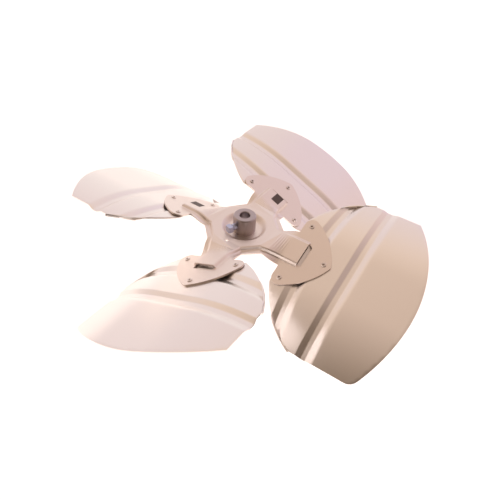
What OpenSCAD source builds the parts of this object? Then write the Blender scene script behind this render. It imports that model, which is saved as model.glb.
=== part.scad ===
// Condenser fan blade: four riveted sheet blades on a pressed four-arm spider,
// with a turned hub and a square-head set screw.
// The bore lies along +Z, z = 0 is the back face of the hub, and arm 1 lies along +X.

/* [Blades] */
// Diameter of the circle that the blade tips sweep
fan_d = 457.2; // [440:0.1:480]
// Pitch of the blades and their pads, degrees from the plane of rotation
pitch = 24; // [20:0.5:27]
// Thickness of the blade sheet
blade_t = 1.6; // [1.2:0.1:2]
// Width of a blade across its chord
chord = 213.4; // [204:0.2:216]
// Radius of the camber on each side of the flat middle strip
camber_r = 232; // [210:1:300]
// Width of the flat middle strip that seats on the pad
flat_w = 58; // [50:1:64]
// Radius of the rounded corner at the trailing side of the tip
tip_corner_r = 14; // [8:1:18]

/* [Ribs] */
// Radius at which the inner rib starts
inner_rib_r = 84.5; // [84:0.5:86]
// Radius at which the outer rib starts
outer_rib_r = 134; // [128:0.5:138]
// Depth of a rib
rib_depth = 3; // [2:0.25:4]
// Radial run of the wall on the hub side of a rib
rib_wall_in = 6.2; // [5:0.1:7]
// Width of the floor of a rib
rib_floor = 6; // [4:0.5:7]
// Radial run of the wall on the tip side of a rib
rib_wall_out = 7.8; // [6:0.1:9]

/* [Spider] */
// Thickness of the spider sheet
spider_t = 2; // [1.6:0.1:2.4]
// Height of the raised centre and arms above the flange
emboss_h = 4.3; // [3:0.1:5]
// Width of an arm over its flanges
arm_w = 50.6; // [48:0.2:53]
// Distance from the axis to the edge of the sheet between two arms
valley_r = 47.7; // [46:0.1:49]
// Sideways offset of a pad's centre line from the fan's axis
pad_offset = 4; // [2:0.5:5]
// Distance from the axis to the inner edge of a pad
pad_start = 63.5; // [63:0.1:66]
// Radius of the round dish that the hub stands in
dish_r = 29; // [27:0.5:30]
// Length of the slot at the end of each raised arm
slot_l = 30; // [26:1:32]

/* [Rivets] */
// Distance from the fan's axis to the two lobe rivets of a pad
lobe_rivet_r = 73; // [72:0.5:74]
// Spacing of the two lobe rivets across the pad
lobe_rivet_span = 76.8; // [74:0.2:80]
// Distance from the fan's axis to the rivet at the point of a pad
point_rivet_r = 111; // [109:0.5:112]
// Diameter of a rivet's shank
rivet_d = 4; // [3.2:0.1:4.4]
// Diameter of a rivet's rolled end
rivet_roll_d = 6.4; // [6:0.1:7]
// Diameter of a rivet's head under the blade
rivet_head_d = 8; // [7:0.1:9]

/* [Hub] */
// Bore of the hub, for a half-inch shaft
bore_d = 12.7; // [10:0.1:15.9]
// Outside diameter of the hub
hub_d = 28; // [26:0.1:30]
// Height of the hub above the sheet that it stands on
hub_h = 22.2; // [20:0.2:26]
// Diameter of the swaged rim under the sheet
rim_d = 27; // [25:0.5:30]
// Thickness of the swaged rim under the sheet
rim_h = 3.8; // [2.5:0.1:5]

/* [Set screw] */
// Thread diameter of the set screw, and the width of its square head
screw_d = 7.94; // [6:0.01:8]
// Height of the square head
screw_head_h = 6; // [5:0.1:7]
// Length of the set screw's shank
screw_l = 12.7; // [11.5:0.1:16]
// Direction of the set screw round the axis, degrees from arm 1
screw_angle = -108.5; // [-112:0.5:-105]

/* [Labels] */
// Length of a label along its arm
label_l = 15; // [12:0.5:15]
// Width of a label
label_w = 12; // [8:0.5:16]

/* [Hidden] */
$fn = 96;
ARMS = 4;
ARM_STEP = 360 / ARMS;

// Clearance of a shank in its hole, all round
shank_gap = 0.05;
// Clearance of a rivet's head from the curved sheet
head_gap = 0.05;
// Overlap that joins the pads to the arms
weld = 0.02;

// Levels along the axis
dish_z = rim_h + spider_t;
centre_z = dish_z + 5.8;
flange_z = centre_z - emboss_h;
pad_z = dish_z - 0.2;

// Pad outline: a point with two curved sides, and a round lobe at each inner rivet
lobe_y = lobe_rivet_span / 2;
lobe_r = 9.5;
side_r = 83;
side_x = lobe_rivet_r - 30.4;
side_y = sqrt(pow(side_r - lobe_r, 2) - pow(lobe_rivet_r - side_x, 2)) - lobe_y;
side_dir = atan2(lobe_y + side_y, lobe_rivet_r - side_x);
side_start = side_x + side_r * cos(side_dir);
nose_r = 5;
nose_x = side_x + sqrt(pow(side_r - nose_r, 2) - pow(side_y, 2));
side_end = side_x + (nose_x - side_x) * side_r / (side_r - nose_r);

// Raised arm: half widths at its root and at the pad, and where it ends
half_arm = arm_w / 2;
root_top = 20;
root_foot = 21.6;
end_top = half_arm - 10.6;
end_foot = half_arm - 7.8;
louvre_x = pad_start + 20;
slot_x = louvre_x + 5;
twist_start = 38;
bend = 1.1;
wall_angle = atan2(emboss_h, end_foot - end_top);
bend_shift = spider_t * tan(wall_angle / 2);

// Blade outline: the two tangent arcs of the tip and the arc of the root corners
tip_x = 53.3;
tip_y = -11.3;
tip_relief = 20;
// Farthest distance from the fan's axis of a tip arc of radius r on the pitched blade
function sweep(r) = max([for (a = [-20:20])
    norm([tip_x + r * cos(a), pad_offset + (tip_y + r * sin(a)) * cos(pitch)])]);
tip_r = fan_d - tip_x - sweep(fan_d / 2 - tip_x);
low_x = tip_x - tip_relief;
low_r = tip_r + tip_relief;
root_x = 170.5;
root_r = 116;
half_chord = chord / 2;
half_flat = flat_w / 2;
blade_start = pad_start + 0.5;
blade_reach = fan_d / 2 + 10;
corner_y = -half_chord + tip_corner_r;
corner_x = low_x + sqrt(pow(low_r - tip_corner_r, 2) - pow(corner_y - tip_y, 2));
corner_dir = atan2(corner_y - tip_y, corner_x - low_x);

// Hub and its set screw
spigot_d = hub_d - 6;
screw_z = dish_z + 10.5;
screw_tip = bore_d / 2 + 0.4;
index_hole_x = 36.4;
index_hole_d = 3.4;

// Smooth step from 0 to 1
function ease(u) = let (v = min(max(u, 0), 1)) v * v * (3 - 2 * v);
function mix(a, b, u) = a + (b - a) * u;
// How far the arm has turned into the pad at distance x, from 0 to 1
function turned(x) = ease((x - twist_start) / (pad_start - twist_start));
// A point of an arm: x along it, w across its flange, h above its flange
function arm_point(x, w, h) =
    let (u = turned(x), a = pitch * u)
    [x, pad_offset * u + w * cos(a) - h * sin(a),
     mix(flange_z, pad_z, u) + w * sin(a) + h * cos(a)];

// Half section of an arm from its edge to the raised top, as [half width, height]
function half_section(x, shift, drop) =
    let (u = turned(x + 4),
         top = mix(root_top, end_top, u) - shift,
         foot = mix(root_foot, end_foot, u) - shift)
    [[half_arm, -drop],
     [foot + bend, -drop],
     [mix(foot, top, 0.2), emboss_h * 0.2 - drop],
     [mix(foot, top, 0.8), emboss_h * 0.8 - drop],
     [top - bend, emboss_h - drop]];
// The same lines where two arms meet, as [distance from the axis, height]
function valley_section(shift, drop) =
    let (top = valley_r - 7.7 - shift, foot = valley_r - 5.9 - shift)
    [[valley_r, -drop],
     [foot + bend, -drop],
     [mix(foot, top, 0.2), emboss_h * 0.2 - drop],
     [mix(foot, top, 0.8), emboss_h * 0.8 - drop],
     [top - bend, emboss_h - drop]];

arm_stations = [46, 49, 52, 55, 58, 61, pad_start, 70, 77, louvre_x];
last_station = len(arm_stations) + 1;
columns = 10;
// Point of the sheet of arm k: column c across it, station i along it, on its top (s = 0) or underside
function sheet_point(k, c, i, s) =
    let (side = c < columns / 2 ? -1 : 1,
         line = c < columns / 2 ? c : columns - 1 - c,
         shift = s * bend_shift,
         drop = s * spider_t,
         valley = valley_section(shift, drop)[line],
         root = half_section(twist_start - 4, shift, drop)[line],
         corner = valley[0] * sqrt(2) - root[0],
         x = i < 2 ? corner : arm_stations[i - 2],
         half = i < 2 ? root : half_section(x, shift, drop)[line],
         p = i == 0 ? [valley[0] / sqrt(2), side * valley[0] / sqrt(2), flange_z + valley[1]]
                    : arm_point(x, side * half[0], half[1]),
         a = k * ARM_STEP)
    [p[0] * cos(a) - p[1] * sin(a), p[0] * sin(a) + p[1] * cos(a), p[2]];
function sheet_index(k, c, i, s) =
    i == 0 && c >= columns / 2
        ? sheet_index((k + 1) % ARMS, columns - 1 - c, 0, s)
        : ((k * columns + c) * (last_station + 1) + i) * 2 + s;
// One patch between two columns and two stations, facing up on top and down below
function patch(k, c, i, s) =
    let (q = [sheet_index(k, c, i, s), sheet_index(k, c + 1, i, s),
              sheet_index(k, c + 1, i + 1, s), sheet_index(k, c, i + 1, s)])
    s == 0 ? [[q[0], q[1], q[2]], [q[0], q[2], q[3]]]
           : [[q[0], q[2], q[1]], [q[0], q[3], q[2]]];
// One patch of the cut edge between the top and the underside
function edge(a, b, c, d) = [[a, b, c], [a, c, d]];

// The pressed sheet of the raised centre and the four twisted arms
module star() {
    middle = columns / 2 - 1;
    points = [for (k = [0:ARMS - 1]) for (c = [0:columns - 1]) for (i = [0:last_station]) for (s = [0:1])
        sheet_point(k, c, i, s)];
    skin = [for (k = [0:ARMS - 1]) for (s = [0:1]) for (c = [0:columns - 2]) for (i = [0:last_station - 1])
        if (c != middle || i > 0) each patch(k, c, i, s)];
    centre = [for (s = [0:1])
        let (loop = [for (k = [0:ARMS - 1]) each
            [sheet_index(k, middle, 0, s), sheet_index(k, middle, 1, s), sheet_index(k, middle + 1, 1, s)]])
        s == 1 ? loop : [for (j = [len(loop) - 1:-1:0]) loop[j]]];
    sides = [for (k = [0:ARMS - 1]) for (i = [0:last_station - 1]) each concat(
        edge(sheet_index(k, 0, i, 0), sheet_index(k, 0, i + 1, 0),
             sheet_index(k, 0, i + 1, 1), sheet_index(k, 0, i, 1)),
        edge(sheet_index(k, columns - 1, i, 1), sheet_index(k, columns - 1, i + 1, 1),
             sheet_index(k, columns - 1, i + 1, 0), sheet_index(k, columns - 1, i, 0)))];
    ends = [for (k = [0:ARMS - 1]) for (c = [0:columns - 2]) each
        edge(sheet_index(k, c, last_station, 0), sheet_index(k, c + 1, last_station, 0),
             sheet_index(k, c + 1, last_station, 1), sheet_index(k, c, last_station, 1))];
    polyhedron(points, concat(skin, centre, sides, ends));
}

// Moves its children to arm k, in the tilted frame of the pad
module on_pad(k) {
    rotate([0, 0, k * ARM_STEP]) translate([0, pad_offset, pad_z]) rotate([pitch, 0, 0]) children();
}

module rivet_places() {
    for (p = [[lobe_rivet_r, lobe_y], [lobe_rivet_r, -lobe_y], [point_rivet_r, 0]])
        translate([p[0], p[1], -camber_drop(p[1])]) children();
}

module pad_outline() {
    intersection() {
        translate([side_x, -side_y]) circle(side_r);
        translate([side_x, side_y]) circle(side_r);
        translate([side_start, -side_r]) square([side_end - side_start, 2 * side_r]);
    }
    translate([nose_x, 0]) circle(nose_r);
    for (side = [-1, 1]) translate([lobe_rivet_r, side * lobe_y]) circle(lobe_r);
    translate([pad_start, -lobe_y]) square([side_start - pad_start, 2 * lobe_y]);
}

// The opening under a raised arm, and the slot that it ends in
module arm_opening() {
    half_open = end_foot + 0.6;
    translate([pad_start - 1, -half_open]) square([louvre_x - pad_start + 1, 2 * half_open]);
    corner = slot_x - louvre_x;
    translate([louvre_x - corner, -slot_l / 2]) square([2 * corner, slot_l - corner]);
    translate([louvre_x, slot_l / 2 - corner]) circle(corner);
}

module pad() {
    translate([0, 0, -spider_t - weld]) linear_extrude(spider_t + 2 * weld) difference() {
        pad_outline();
        arm_opening();
    }
}

// Section of the round dish, from the spigot's hole out to the flat of the raised centre
dish_steps = 8;
dish_floor_r = dish_r - 8.5;
function dish_line(drop) = [for (j = [0:dish_steps])
    let (u = j / dish_steps)
    [mix(dish_floor_r, dish_r, u) + drop * sin(180 * u) * 0.4, mix(dish_z, centre_z, ease(u)) - drop]];
module dish() {
    inner = spigot_d / 2;
    rotate_extrude($fn = 128) polygon(concat(
        [[inner, dish_z]], dish_line(0), [[dish_r + 1, centre_z], [dish_r + 1, centre_z - spider_t]],
        [for (j = [dish_steps:-1:0]) dish_line(spider_t)[j]], [[inner, dish_z - spider_t]]));
}

module spider() {
    color("#d8d0c8") difference() {
        union() {
            difference() {
                star();
                translate([0, 0, centre_z - 2 * emboss_h]) cylinder(r = dish_r + 1, h = 4 * emboss_h, $fn = 128);
            }
            dish();
            for (k = [0:ARMS - 1]) on_pad(k) pad();
        }
        for (k = [0:ARMS - 1]) on_pad(k) for (p = [[lobe_rivet_r, lobe_y], [lobe_rivet_r, -lobe_y], [point_rivet_r, 0]])
            translate([p[0], p[1], -2 * spider_t])
                cylinder(d = rivet_d + 2 * shank_gap, h = 3 * spider_t, $fn = 32);
        rotate([0, 0, 3 * ARM_STEP]) translate([index_hole_x, 0, centre_z - 2 * spider_t])
            cylinder(d = index_hole_d, h = 3 * spider_t, $fn = 32);
    }
}

// How far the cambered sheet lies below its flat middle at y
function camber_drop(y) =
    abs(y) <= half_flat ? 0 : camber_r - sqrt(pow(camber_r, 2) - pow(abs(y) - half_flat, 2));

// One surface of the ribbed sheet along the blade, as [radius, height]
function rib_line(start, drop) =
    let (a = atan2(rib_depth, rib_wall_in) / 2,
         b = atan2(rib_depth, rib_wall_out) / 2,
         floor_start = start + rib_wall_in,
         floor_end = floor_start + rib_floor)
    [[start - drop * tan(a), -drop],
     [floor_start - drop * tan(a), -rib_depth - drop],
     [floor_end + drop * tan(b), -rib_depth - drop],
     [floor_end + rib_wall_out + drop * tan(b), -drop]];
function sheet_line(drop) = concat(
    [[blade_start - 5, -drop]], rib_line(inner_rib_r, drop), rib_line(outer_rib_r, drop), [[blade_reach, -drop]]);
function reversed(list) = [for (j = [len(list) - 1:-1:0]) list[j]];
function blade_section() = concat(sheet_line(0), reversed(sheet_line(blade_t)));

// One cambered side of the blade: the ribbed section turned about the camber's centre
module wing() {
    span = asin((half_chord - half_flat + 4) / camber_r);
    translate([0, -half_flat, -camber_r]) rotate([0, 0, 180]) rotate([0, -90, 0])
        rotate_extrude(angle = span, $fn = 256)
            polygon([for (p = blade_section()) [camber_r + p[1], p[0]]]);
}

module blade_outline() {
    intersection() {
        union() {
            translate([tip_x, tip_y]) circle(tip_r, $fn = 256);
            intersection() {
                translate([low_x, tip_y]) circle(low_r, $fn = 256);
                translate([0, tip_y - chord]) square([blade_reach, chord]);
            }
        }
        translate([root_x, 0]) circle(root_r, $fn = 256);
        translate([blade_start, -half_chord]) square([blade_reach, chord]);
    }
}

// What is cut away round the tip's trailing corner
module corner_waste() {
    reach = 3 * tip_corner_r;
    difference() {
        polygon([[corner_x, corner_y], [corner_x, corner_y - reach], [corner_x + reach, corner_y - reach],
                 [corner_x + reach * cos(corner_dir), corner_y + reach * sin(corner_dir)]]);
        translate([corner_x, corner_y]) circle(tip_corner_r);
    }
}

module blade(k) {
    reach = 2 * camber_r;
    color("#cfc6bd") on_pad(k) translate([0, 0, -spider_t - weld]) difference() {
        intersection() {
            union() {
                rotate([90, 0, 0]) linear_extrude(flat_w, center = true) polygon(blade_section());
                wing();
                mirror([0, 1, 0]) wing();
            }
            translate([0, 0, -reach / 2]) linear_extrude(reach) blade_outline();
        }
        translate([0, 0, -reach / 2]) linear_extrude(reach) corner_waste();
        rivet_places() translate([0, 0, -2 * blade_t])
            cylinder(d = rivet_d + 2 * shank_gap, h = 4 * blade_t, $fn = 32);
    }
}

// A tubular rivet: head under the blade, shank, and rolled end on the pad
module rivet(stack) {
    roll_h = 1.1;
    head_h = 1.5;
    pit_d = rivet_roll_d * 0.4;
    rotate_extrude($fn = 48) polygon([
        [0, -stack - head_h - head_gap], [rivet_head_d * 0.3, -stack - head_h - head_gap],
        [rivet_head_d / 2, -stack - head_h * 0.4 - head_gap], [rivet_head_d / 2, -stack - head_gap],
        [rivet_d / 2, -stack - head_gap], [rivet_d / 2, weld + head_gap],
        [rivet_roll_d / 2, weld + head_gap], [rivet_roll_d / 2, roll_h * 0.5],
        [rivet_roll_d / 2 - 0.6, roll_h], [pit_d / 2 + 0.3, roll_h],
        [pit_d / 2, roll_h * 0.6], [pit_d / 2, -1.5], [0, -2]]);
}

module rivets(k) {
    color("#c9c4bf") on_pad(k)
        for (p = [[lobe_rivet_r, lobe_y], [lobe_rivet_r, -lobe_y], [point_rivet_r, 0]])
            translate([p[0], p[1], 0]) rivet(spider_t + weld + camber_drop(p[1]) + blade_t);
}

// Moves its children to the set screw's axis, which then runs along +Z from the fan's axis
module on_screw_axis() {
    rotate([0, 0, screw_angle]) translate([0, 0, screw_z]) rotate([0, 90, 0]) children();
}

module hub() {
    chamfer = 1.2;
    bore_chamfer = 0.8;
    top = dish_z + hub_h;
    color("#a89f9b") difference() {
        rotate_extrude($fn = 128) polygon([
            [bore_d / 2, 0], [rim_d / 2 - chamfer, 0], [rim_d / 2, chamfer],
            [rim_d / 2, rim_h], [spigot_d / 2, rim_h], [spigot_d / 2, dish_z],
            [hub_d / 2, dish_z], [hub_d / 2, top - chamfer], [hub_d / 2 - chamfer, top],
            [bore_d / 2 + bore_chamfer, top], [bore_d / 2, top - bore_chamfer]]);
        on_screw_axis() cylinder(d = screw_d + 2 * shank_gap, h = hub_d, $fn = 48);
    }
}

module set_screw() {
    point_h = 1.5;
    neck_h = 1.2;
    head_start = screw_tip + screw_l;
    color("#b9bccb") on_screw_axis() {
        translate([0, 0, screw_tip]) cylinder(d1 = screw_d - 2 * point_h, d2 = screw_d, h = point_h, $fn = 48);
        translate([0, 0, screw_tip + point_h]) cylinder(d = screw_d, h = screw_l - point_h - neck_h, $fn = 48);
        translate([0, 0, head_start - neck_h]) cylinder(d = screw_d - 1.4, h = neck_h + 0.5, $fn = 48);
        intersection() {
            translate([-screw_d / 2, -screw_d / 2, head_start]) cube([screw_d, screw_d, screw_head_h]);
            translate([0, 0, head_start]) cylinder(d1 = screw_d * 1.4 + 2 * screw_head_h, d2 = screw_d * 1.2,
                                                   h = screw_head_h, $fn = 48);
        }
    }
}

// A plain label on the raised end of arm k + 1, centred at [x, y] in the frame of the pad
module label(k, x, y) {
    label_t = 0.15;
    color("#5a4d4a") on_pad(k)
        translate([x - label_l / 2, y - label_w / 2, emboss_h]) cube([label_l, label_w, label_t]);
}

spider();
hub();
set_screw();
label(1, louvre_x - 7.5, -3);  // label_2
label(2, louvre_x - 7.8, -4.5);  // label_3
for (k = [0:ARMS - 1]) blade(k);
for (k = [0:ARMS - 1]) rivets(k);
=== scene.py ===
# %% [markdown]
# # A condenser fan blade
# This notebook dresses the solids of a four-blade condenser fan: pressed sheet blades riveted to a
# pressed spider, a turned hub, and a square-head set screw. The frame that is loaded first holds
# every solid at its real place and size, in metres, with +Z along the shaft.

# %% Load the frame
import bpy
import bmesh
from math import asin, atan2, cos, degrees, pi, radians, sin, sqrt
from mathutils import Matrix, Vector


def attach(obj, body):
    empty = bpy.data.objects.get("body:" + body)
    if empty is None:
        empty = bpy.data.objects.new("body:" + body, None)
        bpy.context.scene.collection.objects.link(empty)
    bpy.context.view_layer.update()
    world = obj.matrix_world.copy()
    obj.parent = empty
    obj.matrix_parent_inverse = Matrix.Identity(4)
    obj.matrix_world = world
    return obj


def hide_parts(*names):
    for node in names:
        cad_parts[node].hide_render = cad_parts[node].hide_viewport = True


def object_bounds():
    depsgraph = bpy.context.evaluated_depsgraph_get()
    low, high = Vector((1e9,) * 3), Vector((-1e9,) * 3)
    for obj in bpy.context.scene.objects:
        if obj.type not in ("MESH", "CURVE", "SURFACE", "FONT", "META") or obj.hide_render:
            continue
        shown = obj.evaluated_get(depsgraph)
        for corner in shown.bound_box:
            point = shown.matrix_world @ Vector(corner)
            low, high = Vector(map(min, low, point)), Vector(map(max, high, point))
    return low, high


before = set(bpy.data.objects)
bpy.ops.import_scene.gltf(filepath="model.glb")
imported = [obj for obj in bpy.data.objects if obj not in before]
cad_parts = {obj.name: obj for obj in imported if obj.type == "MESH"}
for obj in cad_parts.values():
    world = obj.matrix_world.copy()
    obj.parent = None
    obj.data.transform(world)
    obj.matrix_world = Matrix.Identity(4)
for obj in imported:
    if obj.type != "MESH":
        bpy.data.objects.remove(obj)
cad_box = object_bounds()
MM = 0.001
print("nodes:", sorted(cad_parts))

# %% [markdown]
# ## The camera
# The fan was photographed from above and a little to one side. A camera is easiest to check as a
# direction, a roll and a distance, so it is placed from those, and looks a little past the hub.

# %% Camera
VIEW_TURN = radians(32.168)
VIEW_ELEVATION = radians(41.548)
VIEW_ROLL = radians(3.924)
VIEW_DISTANCE = 0.68427
AIM_RIGHT = 0.00738
AIM_DOWN = 0.02474
AIM_HEIGHT = 0.0038
LENS_MM = 39.49

camera_data = bpy.data.cameras.new("camera")
camera_data.lens = LENS_MM
camera_data.sensor_width = 36
camera = bpy.data.objects.new("camera", camera_data)
bpy.context.scene.collection.objects.link(camera)
turn = Matrix.Rotation(VIEW_TURN, 3, "Z") @ Matrix.Rotation(pi / 2 - VIEW_ELEVATION, 3, "X")
turn = turn @ Matrix.Rotation(VIEW_ROLL, 3, "Z")
right, up, back = turn.col
camera.matrix_world = turn.to_4x4()
camera.location = Vector((0, 0, AIM_HEIGHT)) + VIEW_DISTANCE * back + AIM_RIGHT * right - AIM_DOWN * up
bpy.context.scene.camera = camera
print("camera at", tuple(round(v, 4) for v in camera.location))

# %% [markdown]
# ## Small helpers for materials
# One function turns a web colour into the linear values that Blender mixes, and one adds a node
# with its settings and its links. Everything else in a material is then one line for each node.

# %% Material helpers
def linear(code, alpha=1.0):
    """A web colour such as "#c8b8ab" as linear red, green, blue and alpha."""
    parts = [int(code[i:i + 2], 16) / 255 for i in (1, 3, 5)]
    parts = [v / 12.92 if v <= 0.04045 else ((v + 0.055) / 1.055) ** 2.4 for v in parts]
    return (*parts, alpha)


def add(tree, kind, settings=None, **sockets):
    """Adds a node of that kind. A socket's value is a number, a colour or another node's output."""
    node = tree.nodes.new(kind)
    for name, value in (settings or {}).items():
        setattr(node, name, value)
    for name, value in sockets.items():
        key = int(name[1:]) if name[0] == "i" and name[1:].isdigit() else name.replace("_", " ")
        if isinstance(value, bpy.types.NodeSocket):
            tree.links.new(value, node.inputs[key])
        else:
            node.inputs[key].default_value = value
    return node


def ramp(tree, factor, stops, mode="LINEAR"):
    """A colour ramp whose stops are (place, web colour)."""
    node = add(tree, "ShaderNodeValToRGB", Fac=factor)
    node.color_ramp.interpolation = mode
    elements = node.color_ramp.elements
    while len(elements) < len(stops):
        elements.new(0.5)
    for element, (place, code) in zip(elements, stops):
        element.position = place
        element.color = linear(code)
    return node


def new_material(name):
    """An empty material with its shader and output linked."""
    material = bpy.data.materials.new(name)
    material.use_nodes = True
    tree = material.node_tree
    tree.nodes.clear()
    shader = add(tree, "ShaderNodeBsdfPrincipled")
    output = add(tree, "ShaderNodeOutputMaterial")
    tree.links.new(shader.outputs["BSDF"], output.inputs["Surface"])
    return material, tree, shader


def dress(thing, material):
    """Gives a piece one material all over."""
    thing.data.materials.clear()
    thing.data.materials.append(material)

# %% [markdown]
# ## The studio
# Bright sheet metal shows the room more than itself, so the room is made first: a white sweep that
# rises to a pale wall behind the fan, a beige ceiling, and a darker room on the camera's side. The
# world's colour depends only on the direction in which a ray leaves.

# %% Studio light
BACK = Vector((cos(pi / 2 + VIEW_TURN), sin(pi / 2 + VIEW_TURN), 0))
SIDE = Vector((cos(VIEW_TURN), sin(VIEW_TURN), 0))

world = bpy.data.worlds.new("studio")
bpy.context.scene.world = world
world.use_nodes = True
tree = world.node_tree
tree.nodes.clear()
direction = add(tree, "ShaderNodeTexCoord").outputs["Generated"]
toward_back = add(tree, "ShaderNodeVectorMath", {"operation": "DOT_PRODUCT"}, i0=direction, i1=BACK)
depth = add(tree, "ShaderNodeMapRange", Value=toward_back.outputs["Value"], From_Min=-1.0, From_Max=1.0)
room = ramp(tree, depth.outputs["Result"], [
    (0.0, "#5a4a40"), (0.22, "#84715f"), (0.30, "#b09a88"), (0.42, "#cdb6a5"), (0.54, "#dcc3b0"),
    (0.66, "#f2d9c4"), (0.78, "#eedcd6"), (0.87, "#ecdcdb"), (0.95, "#f6e8e6"), (1.0, "#fff6f2")])
toward_side = add(tree, "ShaderNodeVectorMath", {"operation": "DOT_PRODUCT"}, i0=direction, i1=SIDE)
window = add(tree, "ShaderNodeMapRange", {"interpolation_type": "SMOOTHSTEP"},
             Value=toward_side.outputs["Value"], From_Min=0.2, From_Max=0.6)
tint = add(tree, "ShaderNodeMix", {"data_type": "RGBA", "blend_type": "MULTIPLY"},
           Factor=window.outputs["Result"])
tree.links.new(room.outputs["Color"], tint.inputs[6])
tint.inputs[7].default_value = (0.97, 0.96, 1.12, 1)
light = add(tree, "ShaderNodeBackground", Color=tint.outputs[2], Strength=1.0)
output = add(tree, "ShaderNodeOutputWorld")
tree.links.new(light.outputs["Background"], output.inputs["Surface"])
bpy.context.scene.view_settings.view_transform = "Standard"

# %% Floor
FLOOR_Z = cad_box[0][2] - 0.00005
bpy.ops.object.select_all(action="DESELECT")
bpy.ops.mesh.primitive_plane_add(size=9, location=(0, 0, FLOOR_Z))
floor = bpy.context.object
floor.name = "floor"
sweep, tree, shader = new_material("white_sweep")
shader.inputs["Base Color"].default_value = linear("#f4f0ee")
shader.inputs["Roughness"].default_value = 0.9
shader.inputs["Emission Color"].default_value = linear("#fffaf7")
shader.inputs["Emission Strength"].default_value = 0.75
dress(floor, sweep)
print("floor at", round(FLOOR_Z / MM, 2), "mm")

# %% [markdown]
# ## Blade sheet
# Each blade is a rolled aluminium sheet. Two ribs are pressed across it and it is rolled to a
# shallow curve on both sides of the strip that seats on the pad. A sheet with soft bends is a grid
# whose rows follow the bends, so a grid primitive is laid out along the blade, then thickened.

# %% Blade sizes
PITCH = radians(24)
PAD_OFFSET = 4 * MM
PAD_Z = 5.6 * MM
SEAT = -2.02 * MM
SHEET = 1.6 * MM
CAMBER_R = 232 * MM
HALF_FLAT = 29 * MM
HALF_CHORD = 106.7 * MM
ROOT_START = 64 * MM
ROOT_X, ROOT_R = 170.5 * MM, 116 * MM
TIP_X, TIP_Y, TIP_R = 53.3 * MM, -11.3 * MM, 175.05 * MM
TIP_RELIEF = 20 * MM
CORNER_R = 14 * MM
RIB_DEPTH = 3 * MM
INNER_BENDS = [(85, 0.9), (92, 0.9), (98, 0.9), (105.2, 2.2)]
OUTER_BENDS = [(134, 0.8), (140.2, 0.8), (146.2, 0.9), (154, 2.4)]


def place(r, s, n, arm=0):
    """A point of the tilted pad frame: r along the arm, s across it, n above the pad."""
    y = PAD_OFFSET + s * cos(PITCH) - n * sin(PITCH)
    z = PAD_Z + s * sin(PITCH) + n * cos(PITCH)
    a = arm * pi / 2
    return Vector((r * cos(a) - y * sin(a), r * sin(a) + y * cos(a), z))


def ease(u):
    v = min(max(u, 0), 1)
    return v * v * (3 - 2 * v)


def bend(x, soft):
    """Zero before the bend and x after it, rounded over soft on each side."""
    if x <= -soft:
        return 0
    return x if x >= soft else (x + soft) ** 2 / (4 * soft)


def rib(u, bends):
    """How deep a pressed rib is at u, from its four bends as (place, softness) in millimetres."""
    (a, sa), (b, sb), (c, sc), (d, sd) = [(v * MM, soft * MM) for v, soft in bends]
    down = (bend(u - a, sa) - bend(u - b, sb)) / (b - a)
    up = (bend(u - c, sc) - bend(u - d, sd)) / (d - c)
    return RIB_DEPTH * (down - up)


def root_edge(s):
    return max(ROOT_START, ROOT_X - sqrt(ROOT_R ** 2 - s ** 2))


def tip_edge(s):
    if s >= TIP_Y:
        return TIP_X + sqrt(TIP_R ** 2 - (s - TIP_Y) ** 2)
    low_x, low_r = TIP_X - TIP_RELIEF, TIP_R + TIP_RELIEF
    corner_y = CORNER_R - HALF_CHORD
    corner_x = low_x + sqrt((low_r - CORNER_R) ** 2 - (corner_y - TIP_Y) ** 2)
    arc = low_x + sqrt(low_r ** 2 - (s - TIP_Y) ** 2)
    reach = corner_y + CORNER_R * (corner_y - TIP_Y) / (low_r - CORNER_R)
    return arc if s > reach else corner_x + sqrt(max(CORNER_R ** 2 - (s - corner_y) ** 2, 0))


def spread(marks, step):
    """Values from the first mark to the last, through every mark, no more than a step apart."""
    values = [marks[0]]
    for a, b in zip(marks, marks[1:]):
        count = max(1, round((b - a) / step + 0.49))
        values += [a + (b - a) * (i + 1) / count for i in range(count)]
    return values

# %% Blade grid
bend_marks = sorted(v + k * soft / 3 for v, soft in INNER_BENDS + OUTER_BENDS for k in range(-4, 5))
rows = spread([64] + bend_marks + [160, 232], 4)
turn_in = [-106.7 + 14 * (1 - cos(radians(a))) for a in (0, 12, 24, 36, 48, 60, 75, 90)]
columns = spread(turn_in + [-46, -29, 29, 46, 106.7], 3.6)

bpy.ops.object.select_all(action="DESELECT")
bpy.ops.mesh.primitive_grid_add(x_subdivisions=len(rows) - 1, y_subdivisions=len(columns) - 1, size=1)
blade = bpy.context.object
blade.name = "blade_sheet_1"
for vertex in blade.data.vertices:
    row = round((vertex.co.x + 0.5) * (len(rows) - 1))
    u = rows[row] * MM
    s = columns[round((vertex.co.y + 0.5) * (len(columns) - 1))] * MM
    snap = 0.45 * MM * (rows[min(row + 1, len(rows) - 1)] - rows[max(row - 1, 0)]) / 2
    sweep_out = (s ** 2 - (55 * MM) ** 2) / 1.2 * ease((u - 64 * MM) / (16 * MM)) * ease((132 * MM - u) / (24 * MM))
    depth = rib(u, INNER_BENDS) + rib(u, OUTER_BENDS)
    r = u + sweep_out
    r = root_edge(s) if r < root_edge(s) + snap else r
    r = tip_edge(s) if r > tip_edge(s) - snap else r
    across = max(abs(s) - HALF_FLAT, 0)
    n = SEAT - CAMBER_R + sqrt((CAMBER_R - depth) ** 2 - across ** 2)
    vertex.co = place(r, s, n)
bpy.ops.object.mode_set(mode="EDIT")
bpy.ops.mesh.select_all(action="SELECT")
bpy.ops.mesh.remove_doubles(threshold=0.05 * MM)
bpy.ops.mesh.normals_make_consistent(inside=False)
bpy.ops.object.mode_set(mode="OBJECT")
if sum(face.normal.z for face in blade.data.polygons) < 0:
    blade.data.flip_normals()
print("blade grid:", len(blade.data.vertices), "points")

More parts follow.
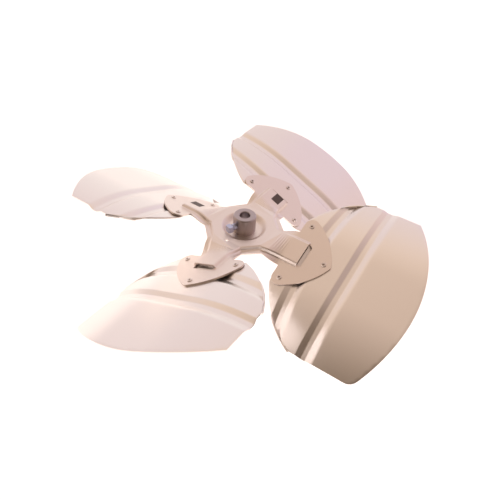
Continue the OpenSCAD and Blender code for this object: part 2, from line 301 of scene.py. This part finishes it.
# %% Blade thickness
solid = blade.modifiers.new("sheet", "SOLIDIFY")
solid.thickness = SHEET
solid.offset = -1
solid.use_even_offset = False
bpy.ops.object.modifier_apply(modifier="sheet")
edge = blade.modifiers.new("sheared edge", "BEVEL")
edge.width = 0.3 * MM
edge.segments = 2
edge.limit_method = "ANGLE"
edge.angle_limit = radians(55)
bpy.ops.object.modifier_apply(modifier="sheared edge")
bpy.ops.object.shade_smooth_by_angle(angle=radians(40))

# %% Blade finish
mill_aluminium, tree, shader = new_material("mill_aluminium")
shader.inputs["Metallic"].default_value = 1.0
shader.inputs["Roughness"].default_value = 0.3
shader.inputs["Base Color"].default_value = linear("#f6f1ee")
dress(blade, mill_aluminium)

# %% The other three blades
blades = [blade]
for arm in (1, 2, 3):
    copy = blade.copy()
    copy.data = blade.data.copy()
    copy.name = f"blade_sheet_{arm + 1}"
    bpy.context.scene.collection.objects.link(copy)
    copy.data.transform(Matrix.Rotation(arm * pi / 2, 4, "Z"))
    blades.append(copy)
for arm, piece in enumerate(blades):
    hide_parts(f"blade_{arm + 1}")
    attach(piece, "root")

# %% Spider
zinc_sheet, tree, shader = new_material("zinc_sheet")
shader.inputs["Metallic"].default_value = 1.0
shader.inputs["Roughness"].default_value = 0.4
shader.inputs["Base Color"].default_value = linear("#f0e6e0")
dress(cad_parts["spider"], zinc_sheet)

# %% Hub
turned_steel, tree, shader = new_material("turned_steel")
shader.inputs["Metallic"].default_value = 1.0
shader.inputs["Roughness"].default_value = 0.35
shader.inputs["Base Color"].default_value = linear("#b8aeb0")
dress(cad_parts["hub"], turned_steel)

# %% Set screw
bright_zinc, tree, shader = new_material("bright_zinc")
shader.inputs["Metallic"].default_value = 1.0
shader.inputs["Roughness"].default_value = 0.3
shader.inputs["Base Color"].default_value = linear("#c2c8e0")
dress(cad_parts["set_screw"], bright_zinc)

# %% Rivets
rolled_rivet, tree, shader = new_material("rolled_rivet")
shader.inputs["Metallic"].default_value = 1.0
shader.inputs["Roughness"].default_value = 0.35
shader.inputs["Base Color"].default_value = linear("#e8e0dc")
for i in (1, 2, 3, 4):
    dress(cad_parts[f"blade_{i}_rivets"], rolled_rivet)

# %% Labels
label_film, tree, shader = new_material("label_film")
shader.inputs["Roughness"].default_value = 0.5
shader.inputs["Base Color"].default_value = linear("#5c4e4b")
for i in (2, 3):
    dress(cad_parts[f"label_{i}"], label_film)
